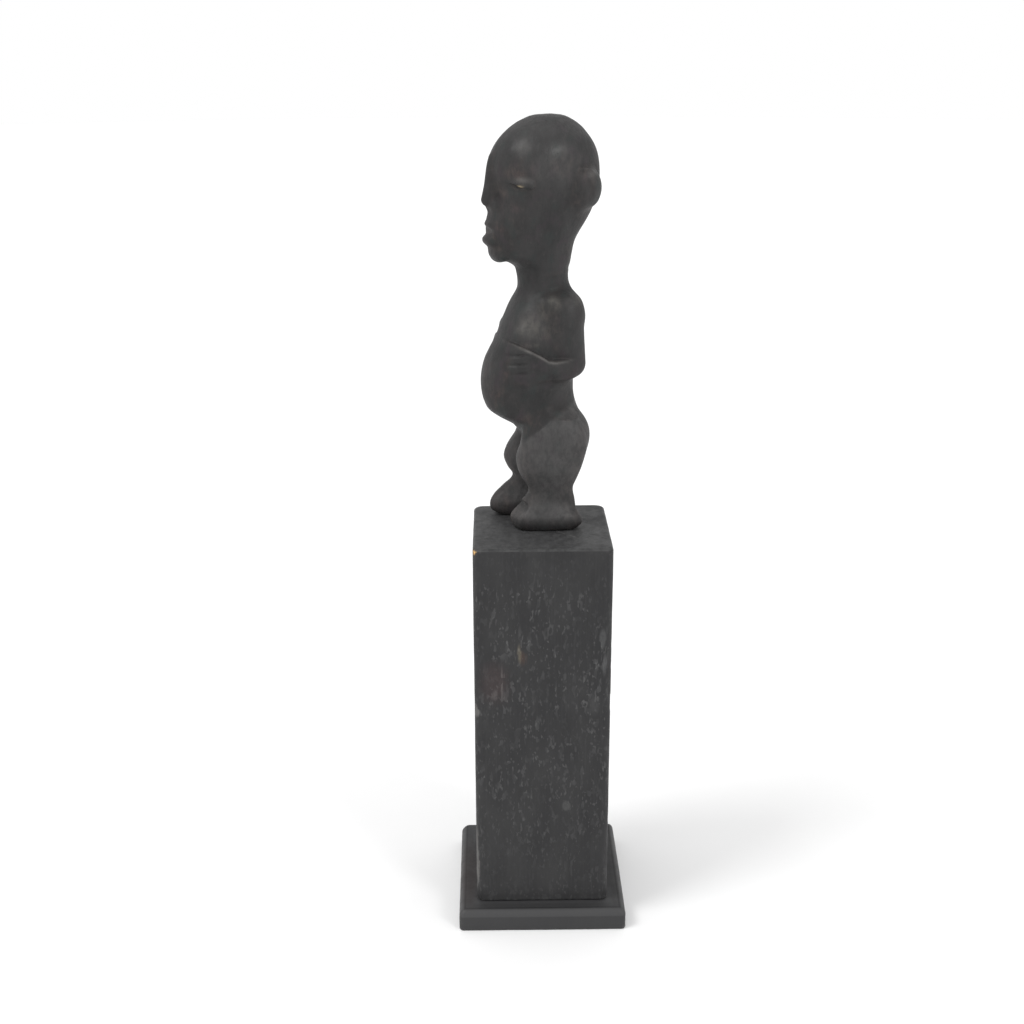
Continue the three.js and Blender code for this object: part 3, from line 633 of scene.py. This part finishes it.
bv, tb = knock_off(bv, (BASE_HALF - 0.9, -BASE_HALF + 0.9, 3.2), (1, -1, 0.0), 0.22, 4)
bv, tb2 = knock_off(bv, (-BASE_HALF + 0.8, -BASE_HALF + 0.8, EDGE_H - 0.6), (-1, -1, 0.9), 0.22, 9)
base = make_object("base_moulding", bv, bf, {"bare": np.zeros(len(bv))})
holes = []
for nm in sorted(screws):
    a, b = lo_hi(nm)
    x, y = (a[0]+b[0])/2, (a[1]+b[1])/2
    holes.append((x, y, -1.0, b[2] + 5, 2.25))
    holes.append((x, y, -1.0, a[2] + 2.6, 4.4))
bored(base, holes)
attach(base, "root")
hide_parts("base_plate")


# ---------------------------------------------------------------- material helpers
class Nodes:
    def __init__(self, name):
        self.mat = bpy.data.materials.new(name)
        self.mat.use_nodes = True
        self.t = self.mat.node_tree
        self.t.nodes.clear()
        self.out = self.new("ShaderNodeOutputMaterial")
        self.bsdf = self.new("ShaderNodeBsdfPrincipled")
        self.t.links.new(self.bsdf.outputs[0], self.out.inputs[0])
        tc = self.new("ShaderNodeTexCoord")
        sc = self.new("ShaderNodeVectorMath"); sc.operation = "SCALE"
        self.t.links.new(tc.outputs["Object"], sc.inputs[0])
        sc.inputs["Scale"].default_value = 1000.0
        self.mm = sc.outputs[0]                # object position in millimetres

    def new(self, kind):
        return self.t.nodes.new(kind)

    def put(self, sock, val):
        if isinstance(val, bpy.types.NodeSocket):
            self.t.links.new(val, sock)
        elif isinstance(val, (tuple, list)):
            v = list(val)
            if len(sock.default_value) == 4 and len(v) == 3:
                v.append(1.0)
            sock.default_value = v
        else:
            sock.default_value = val

    def math(self, op, a, b=0.0, c=None, clamp=False):
        n = self.new("ShaderNodeMath"); n.operation = op; n.use_clamp = clamp
        self.put(n.inputs[0], a); self.put(n.inputs[1], b)
        if c is not None:
            self.put(n.inputs[2], c)
        return n.outputs[0]

    def vec(self, op, a, b):
        n = self.new("ShaderNodeVectorMath"); n.operation = op
        self.put(n.inputs[0], a); self.put(n.inputs[1], b)
        return n.outputs[0]

    def noise(self, scale=(1, 1, 1), detail=3.0, rough=0.55, shift=(0, 0, 0), distort=0.0, vec=None):
        v = self.vec("MULTIPLY", vec or self.mm, tuple(scale))
        v = self.vec("ADD", v, tuple(shift))
        n = self.new("ShaderNodeTexNoise")
        n.inputs["Scale"].default_value = 1.0
        n.inputs["Detail"].default_value = detail
        n.inputs["Roughness"].default_value = rough
        n.inputs["Distortion"].default_value = distort
        self.put(n.inputs["Vector"], v)
        return n.outputs["Fac"]

    def cells(self, scale=(1, 1, 1), feature="F1", shift=(0, 0, 0), out="Distance", rand=1.0, vec=None):
        v = self.vec("MULTIPLY", vec or self.mm, tuple(scale))
        v = self.vec("ADD", v, tuple(shift))
        n = self.new("ShaderNodeTexVoronoi")
        n.feature = feature
        n.inputs["Scale"].default_value = 1.0
        n.inputs["Randomness"].default_value = rand
        self.put(n.inputs["Vector"], v)
        return n.outputs[out]

    def remap(self, x, lo, hi, a=0.0, b=1.0, smooth=True):
        n = self.new("ShaderNodeMapRange")
        n.interpolation_type = "SMOOTHSTEP" if smooth else "LINEAR"
        n.clamp = True
        self.put(n.inputs["Value"], x)
        self.put(n.inputs["From Min"], lo); self.put(n.inputs["From Max"], hi)
        self.put(n.inputs["To Min"], a); self.put(n.inputs["To Max"], b)
        return n.outputs["Result"]

    def mix(self, fac, a, b):
        n = self.new("ShaderNodeMix"); n.data_type = "RGBA"
        self.put(n.inputs["Factor"], fac)
        self.put(n.inputs["A"], a) if False else None
        ca = [s for s in n.inputs if s.name == "A" and s.type == "RGBA"][0]
        cb = [s for s in n.inputs if s.name == "B" and s.type == "RGBA"][0]
        self.put(ca, a); self.put(cb, b)
        return [s for s in n.outputs if s.type == "RGBA"][0]

    def attr(self, name):
        n = self.new("ShaderNodeAttribute"); n.attribute_name = name
        return n.outputs["Fac"]

    def blob(self, c, r, soft=0.5, vec=None):
        """1 inside an ellipsoid at c with half sizes r (mm), fading over its outer part"""
        v = self.vec("SUBTRACT", vec or self.mm, tuple(c))
        v = self.vec("DIVIDE", v, tuple(r))
        n = self.new("ShaderNodeVectorMath"); n.operation = "LENGTH"
        self.put(n.inputs[0], v)
        return self.remap(n.outputs["Value"], 1.0 - soft, 1.0 + soft, 1.0, 0.0)

    def axis(self, k, vec=None):
        n = self.new("ShaderNodeSeparateXYZ")
        self.put(n.inputs[0], vec or self.mm)
        return n.outputs[k]

    def bump(self, height, dist, strength=1.0, normal=None):
        n = self.new("ShaderNodeBump")
        n.inputs["Strength"].default_value = strength
        n.inputs["Distance"].default_value = dist
        self.put(n.inputs["Height"], height)
        if normal is not None:
            self.put(n.inputs["Normal"], normal)
        return n.outputs["Normal"]

    def finish(self, color, rough, normal=None, spec=0.35, metal=0.0, coat=0.0, coat_rough=0.3, ior=1.45):
        b = self.bsdf
        self.put(b.inputs["Base Color"], color)
        self.put(b.inputs["Roughness"], rough)
        if normal is not None:
            self.put(b.inputs["Normal"], normal)
        b.inputs["Specular IOR Level"].default_value = spec
        b.inputs["IOR"].default_value = ior
        b.inputs["Metallic"].default_value = metal
        b.inputs["Coat Weight"].default_value = coat
        b.inputs["Coat Roughness"].default_value = coat_rough
        return self.mat


def only_material(ob, mat):
    ob.data.materials.clear()
    ob.data.materials.append(mat)


# ---------------------------------------------------------------- dark hardwood of the carving
g = Nodes("carved_hardwood")
blotch = g.noise((1/11, 1/11, 1/19), 3, 0.55)
mottle = g.noise((1/2.6, 1/2.6, 1/4.2), 4, 0.6, (3, 7, 1))
grain = g.noise((1/0.75, 1/0.75, 1/15), 4, 0.6, (9, 2, 4), 0.4)
pores = g.noise((1/0.22, 1/0.22, 1/2.4), 2, 0.5, (1, 5, 8))
col = g.mix(g.remap(blotch, 0.36, 0.66), (0.0192, 0.0190, 0.0192), (0.0290, 0.0281, 0.0283))
tint = g.noise((1/5.5, 1/5.5, 1/7.5), 2, 0.5, (12, 5, 9))
col = g.mix(g.math("MULTIPLY", g.remap(tint, 0.54, 0.72), 0.55), col, (0.0330, 0.0255, 0.0300))
col = g.mix(g.math("MULTIPLY", g.remap(tint, 0.46, 0.30), 0.55), col, (0.0215, 0.0270, 0.0262))
col = g.mix(g.math("MULTIPLY", g.remap(grain, 0.52, 0.76), 0.18), col, (0.046, 0.041, 0.039))
col = g.mix(g.math("MULTIPLY", g.remap(mottle, 0.56, 0.76), 0.35), col, (0.048, 0.045, 0.043))
# lighter grey on the hips, legs and spots of the head and chest: paler wood with painted light
col = g.mix(g.math("MULTIPLY", g.attr("greyer_wood_and_painted_light"), g.remap(mottle, 0.30, 0.62, 0.45, 0.90)), col, (0.0670, 0.0650, 0.0645))
# painted highlights in a light grey
col = g.mix(g.math("MULTIPLY", g.attr("painted_highlight"), 0.62), col, (0.1500, 0.1450, 0.1380))
worn_m = g.math("MULTIPLY", g.attr("worn"), g.remap(mottle, 0.34, 0.62, 0.25, 1.0))
worn_m = g.math("MULTIPLY", worn_m, g.remap(grain, 0.32, 0.6, 0.75, 1.0), clamp=True)
red = g.mix(g.remap(mottle, 0.42, 0.70), (0.088, 0.050, 0.046), (0.150, 0.102, 0.086))
col = g.mix(g.math("MULTIPLY", worn_m, 0.46), col, red)
# lighter bared wood, partly a painted highlight on the breast and shoulder top
pale_m = g.math("MULTIPLY", g.attr("pale"), g.remap(mottle, 0.36, 0.60, 0.3, 1.0))
col = g.mix(g.math("MULTIPLY", pale_m, 0.70), col, (0.128, 0.118, 0.100))
# darker and rougher in the hollows
hollow_mask = g.math("MULTIPLY", g.attr("cavity"), 0.50)
col = g.mix(hollow_mask, col, (0.0100, 0.0090, 0.0088))
col = g.mix(g.math("MULTIPLY", g.remap(pores, 0.60, 0.72), 0.35), col, (0.010, 0.008, 0.008))
slit_m = g.math("MULTIPLY", g.attr("slit"), g.remap(g.noise((1/0.8, 1/0.8, 1/0.8), 2, 0.5, (4, 4, 4)), 0.30, 0.55, 0.45, 1.0))
col = g.mix(slit_m, col, (0.44, 0.36, 0.235))
rough = g.remap(g.noise((1/5, 1/5, 1/8), 4, 0.6, (2, 8, 5)), 0.34, 0.66, 0.56, 0.68)
rough = g.math("SUBTRACT", rough, g.math("MULTIPLY", g.attr("polish"), 0.29), clamp=True)
rough = g.math("ADD", rough, g.math("MULTIPLY", hollow_mask, 0.22), clamp=True)
rough = g.math("SUBTRACT", rough, g.math("MULTIPLY", worn_m, 0.05), clamp=True)
n1 = g.bump(g.noise((1/1.9, 1/1.9, 1/3.4), 3, 0.5, (6, 1, 3)), 0.00045, 0.55)
n2 = g.bump(grain, 0.00008, 0.5, n1)
n3 = g.bump(g.remap(pores, 0.55, 0.74, 1.0, 0.0), 0.00006, 0.6, n2)
only_material(figure, g.finish(col, rough, n3, spec=0.36, coat=0.05, coat_rough=0.26, ior=1.42))


# ---------------------------------------------------------------- charcoal paint over timber
def paint(name, flecked):
    g = Nodes(name)
    side_x = g.math("GREATER_THAN", g.axis(0), COL_HALF - 4.5)
    tone = g.noise((1/17, 1/17, 1/34), 3, 0.5)
    brush = g.noise((1/1.1, 1/1.1, 1/30), 4, 0.6, (5, 3, 2), 0.3)
    fine = g.noise((1/0.7, 1/0.7, 1/1.6), 3, 0.6, (8, 1, 6))
    col = g.mix(g.remap(tone, 0.35, 0.68), (0.0235, 0.0232, 0.0242), (0.0305, 0.0302, 0.0308))
    col = g.mix(g.math("MULTIPLY", g.remap(brush, 0.46, 0.74), 0.22), col, (0.044, 0.044, 0.045))
    col = g.mix(g.math("MULTIPLY", g.remap(fine, 0.60, 0.78), 0.30), col, (0.018, 0.018, 0.019))
    z = g.axis(2)
    height = None
    if flecked:
        # specks of thin paint along the grain, gathered in drifts
        wv = g.vec("ADD", g.mm, g.vec("MULTIPLY", g.cells((1/6, 1/6, 1/9), out="Color"), (1.4, 1.4, 2.2)))
        drift = g.noise((1/12, 1/12, 1/17), 2, 0.5, (2, 6, 9))
        low = g.remap(z, 30.0, 95.0, 0.5, 1.0)
        topf = g.remap(z, COL_Z1 - 24, COL_Z1 - 12, 1.0, 0.35)
        drift = g.math("MULTIPLY", g.math("MULTIPLY", g.remap(drift, 0.37, 0.60, 0.28, 1.0), low), topf)
        f1 = g.noise((1/2.1, 1/2.1, 1/4.4), 1, 0.4, (7, 7, 1), vec=wv)
        f2 = g.noise((1/1.3, 1/1.3, 1/2.7), 1, 0.4, (1, 9, 3), vec=wv)
        flecks = g.math("MULTIPLY", g.remap(f1, 0.56, 0.64), drift)
        specks = g.math("MULTIPLY", g.remap(f2, 0.63, 0.71), drift)
        dull = g.remap(g.noise((1/4, 1/4, 1/6), 1, 0.5, (3, 3, 8)), 0.35, 0.65, 0.35, 1.0)
        flecks = g.math("MULTIPLY", flecks, dull)
        col = g.mix(g.math("MULTIPLY", flecks, 0.52), col, (0.072, 0.072, 0.073))
        col = g.mix(g.math("MULTIPLY", specks, 0.34), col, (0.125, 0.125, 0.125))
        # top face painted lighter in cloudy patches: a painted reflection of the light on the top
        top_face_mask = g.math("GREATER_THAN", z, COL_Z1 - 1.0)
        top_reflection_cloud = g.noise((1/3.6, 1/3.6, 1/3.6), 4, 0.6, (4, 1, 7))
        col = g.mix(g.math("MULTIPLY", top_face_mask, g.remap(top_reflection_cloud, 0.34, 0.66, 0.25, 1.0)), col, (0.055, 0.055, 0.0555))
        X = COL_HALF
        marks = [  # centre, half sizes, softness, strength, colour
            ((X, 28.9, 154.0), (3, 1.7, 5.0), 0.3, 0.36, (0.112, 0.114, 0.114)),
            ((X, 29.6, 142.0), (3, 0.9, 5.0), 0.5, 0.40, (0.120, 0.120, 0.122)),
            ((X, 12.2, 65.0), (3, 2.1, 2.8), 0.25, 0.32, (0.105, 0.105, 0.103)),
            ((X, -10.0, 147.5), (3, 0.9, 4.6), 0.45, 0.42, (0.190, 0.165, 0.120)),
            ((X, -8.6, 145.5), (3, 1.5, 3.6), 0.5, 0.32, (0.080, 0.042, 0.027)),
            ((X, -22.0, 131.5), (3, 6.4, 10.0), 0.6, 0.30, (0.076, 0.048, 0.047)),
            ((X, -18.3, 131.5), (3, 0.5, 8.2), 0.5, 0.36, (0.150, 0.135, 0.132)),
            ((X, -22.2, 125.2), (3, 1.8, 3.0), 0.4, 0.32, (0.145, 0.130, 0.128)),
            # light lines on the left front arris: worn paint with a painted highlight along it
            ((30.4, -31.2, 36.0), (2.6, 1.6, 17.0), 0.25, 0.55, (0.150, 0.142, 0.136)),
            ((30.4, -31.2, 116.4), (2.6, 1.6, 3.2), 0.3, 0.55, (0.160, 0.155, 0.150)),
            ((X, 24.8, 120.0), (3, 2.2, 5.5), 0.6, 0.22, (0.098, 0.097, 0.098)),
        ]
        for c, r, soft, k, tint in marks:
            w = g.math("MULTIPLY", g.blob(c, r, soft, vec=wv), k)
            w = g.math("MULTIPLY", w, g.remap(fine, 0.30, 0.55, 0.55, 1.0))
            col = g.mix(g.math("MULTIPLY", w, side_x), col, tint)
        height = g.math("SUBTRACT", brush, g.math("MULTIPLY", g.math("ADD", flecks, specks), 0.6))
    else:
        col = g.mix(0.7, col, (0.0405, 0.0403, 0.0415))
        out = g.math("MAXIMUM", g.math("ABSOLUTE", g.axis(0)), g.math("ABSOLUTE", g.axis(1)))
        flat = g.math("GREATER_THAN", z, BASE_Z1 - 0.5)
        # painted shadow: a dark line on the flat just inside the rounded shoulder, the shade of a step
        painted_step_shadow = g.math("MULTIPLY", g.remap(out, BASE_HALF - 3.7, BASE_HALF - 3.3), g.remap(out, BASE_HALF - 3.0, BASE_HALF - 2.5, 1.0, 0.0))
        col = g.mix(g.math("MULTIPLY", g.math("MULTIPLY", painted_step_shadow, flat), 0.65), col, (0.016, 0.016, 0.017))
        # painted highlight: a lighter band along the lower part of the rounded shoulder
        painted_edge_highlight = g.math("MULTIPLY", g.remap(z, EDGE_H + 0.1, EDGE_H + 0.9), g.remap(out, BASE_HALF - 2.7, BASE_HALF - 2.0))
        col = g.mix(g.math("MULTIPLY", painted_edge_highlight, 0.5), col, (0.066, 0.066, 0.067))
        # painted highlight: a lighter band on the flat round the foot of the column, the lit top of a step
        foot = g.math("MULTIPLY", flat, g.remap(out, COL_HALF + 1.0, COL_HALF + 3.6, 1.0, 0.0))
        col = g.mix(g.math("MULTIPLY", foot, 0.4), col, (0.060, 0.060, 0.062))
        warm = g.blob((8.0, -37.0, BASE_Z1), (26, 5, 3), 0.5)
        col = g.mix(g.math("MULTIPLY", warm, 0.5), col, (0.040, 0.029, 0.028))
    # rubbed edges
    geo = g.new("ShaderNodeNewGeometry")
    pt = g.remap(geo.outputs["Pointiness"], 0.515, 0.56)
    rub = g.math("MULTIPLY", pt, g.remap(g.noise((1/1.6, 1/1.6, 1/5), 3, 0.6, (9, 9, 2)), 0.44, 0.62))
    col = g.mix(g.math("MULTIPLY", rub, 0.40), col, (0.125, 0.122, 0.118))
    bare_m = g.attr("bare")
    wood = g.mix(g.remap(g.noise((1/0.5, 1/0.5, 1/3), 3, 0.6), 0.4, 0.6), (0.55, 0.30, 0.10), (0.80, 0.56, 0.26))
    col = g.mix(bare_m, col, wood)
    rough = g.remap(g.noise((1/7, 1/7, 1/12), 3, 0.6, (3, 1, 9)), 0.35, 0.65, *((0.52, 0.66) if flecked else (0.46, 0.58)))
    rough = g.math("ADD", rough, g.math("MULTIPLY", bare_m, 0.25), clamp=True)
    n1 = g.bump(height if height is not None else brush, 0.00010, 0.6)
    n2 = g.bump(fine, 0.00006, 0.5, n1)
    return g.finish(col, rough, n2, spec=0.30 if flecked else 0.34)


only_material(column, paint("plinth_charcoal_paint", True))
only_material(base, paint("base_charcoal_paint", False))


# ---------------------------------------------------------------- steel pins and screws
def steel(name):
    g = Nodes(name)
    turn = g.noise((1/2.2, 1/2.2, 1/0.18), 3, 0.6)
    stain = g.noise((1/3, 1/3, 1/4), 3, 0.6, (4, 2, 2))
    col = g.mix(g.remap(turn, 0.4, 0.62), (0.36, 0.37, 0.38), (0.50, 0.51, 0.52))
    col = g.mix(g.math("MULTIPLY", g.remap(stain, 0.58, 0.74), 0.5), col, (0.20, 0.19, 0.17))
    rough = g.remap(stain, 0.35, 0.7, 0.26, 0.44)
    return g.finish(col, rough, g.bump(turn, 0.00003, 0.5), spec=0.5, metal=1.0)


st = steel("fixing_steel_zinc")
for nm, ob in NODES.items():
    if nm.startswith(("leg_pin", "base_screw")):
        if len(ob.material_slots) == 0:
            ob.data.materials.append(st)
        for s in ob.material_slots:
            s.material = st


# ---------------------------------------------------------------- floor, light, camera
floor_me = bpy.data.meshes.new("floor")
n = 64
floor_me.from_pydata([(7*math.cos(2*math.pi*i/n), 7*math.sin(2*math.pi*i/n), -0.0001) for i in range(n)], [], [tuple(range(n))])
floor = bpy.data.objects.new("floor", floor_me)
bpy.context.scene.collection.objects.link(floor)
g = Nodes("pale_floor")
paper = g.noise((1/40, 1/40, 1/40), 2, 0.5)
only_material(floor, g.finish(g.mix(paper, (0.85, 0.85, 0.85), (0.87, 0.87, 0.87)), 0.9, spec=0.05))
g.bsdf.inputs["Emission Color"].default_value = (1, 1, 1, 1)
g.bsdf.inputs["Emission Strength"].default_value = 0.075

world = bpy.data.worlds.new("tent")
bpy.context.scene.world = world
world.use_nodes = True
wt = world.node_tree
bg = wt.nodes["Background"]
bg.inputs[0].default_value = (1.0, 1.0, 1.0, 1.0)
tcw = wt.nodes.new("ShaderNodeTexCoord")
sep = wt.nodes.new("ShaderNodeSeparateXYZ")
wt.links.new(tcw.outputs["Generated"], sep.inputs[0])
mr = wt.nodes.new("ShaderNodeMapRange")
mr.interpolation_type = "SMOOTHSTEP"
mr.inputs["From Min"].default_value = 0.10
mr.inputs["From Max"].default_value = 0.30
mr.inputs["To Min"].default_value = 1.0
mr.inputs["To Max"].default_value = 0.86
wt.links.new(sep.outputs["Z"], mr.inputs["Value"])
wt.links.new(mr.outputs["Result"], bg.inputs[1])


def lamp(name, direction, strength, spread):
    """a wide soft source from one direction, even over the whole floor"""
    d = Vector(direction).normalized()
    li = bpy.data.lights.new(name, "SUN")
    li.energy = strength
    li.angle = math.radians(spread)
    ob = bpy.data.objects.new(name, li)
    ob.location = Vector((0, 0, 0.24)) + d*2.0
    ob.rotation_euler = d.to_track_quat("Z", "Y").to_euler()
    bpy.context.scene.collection.objects.link(ob)
    return ob


lamp("light_left", (0.26, -0.57, 0.78), 1.10, 20)
lamp("light_right", (0.62, 0.59, 0.52), 0.64, 16)

cam = bpy.data.cameras.new("camera")
cam.sensor_fit = "HORIZONTAL"
cam.sensor_width = 36.0
cam.lens = 1396.98/1024*36.0
cam.clip_start = 0.01
cam.clip_end = 50
co = bpy.data.objects.new("camera", cam)
right = Vector((0.0138523, 0.9998966, -0.0038521))
down = Vector((0.3238704, -0.0081315, -0.9460665))
fwd = Vector((-0.9460001, 0.0118576, -0.3239495))
m = Matrix.Identity(4)
for i in range(3):
    m[i][0] = right[i]; m[i][1] = -down[i]; m[i][2] = -fwd[i]
m.translation = Vector((0.6288812, -0.0216954, 0.4204029))
co.matrix_world = m
bpy.context.scene.collection.objects.link(co)
bpy.context.scene.camera = co
vs = bpy.context.scene.view_settings
vs.view_transform = "Standard"
vs.look = "None"
vs.exposure = 0.0
vs.gamma = 1.0

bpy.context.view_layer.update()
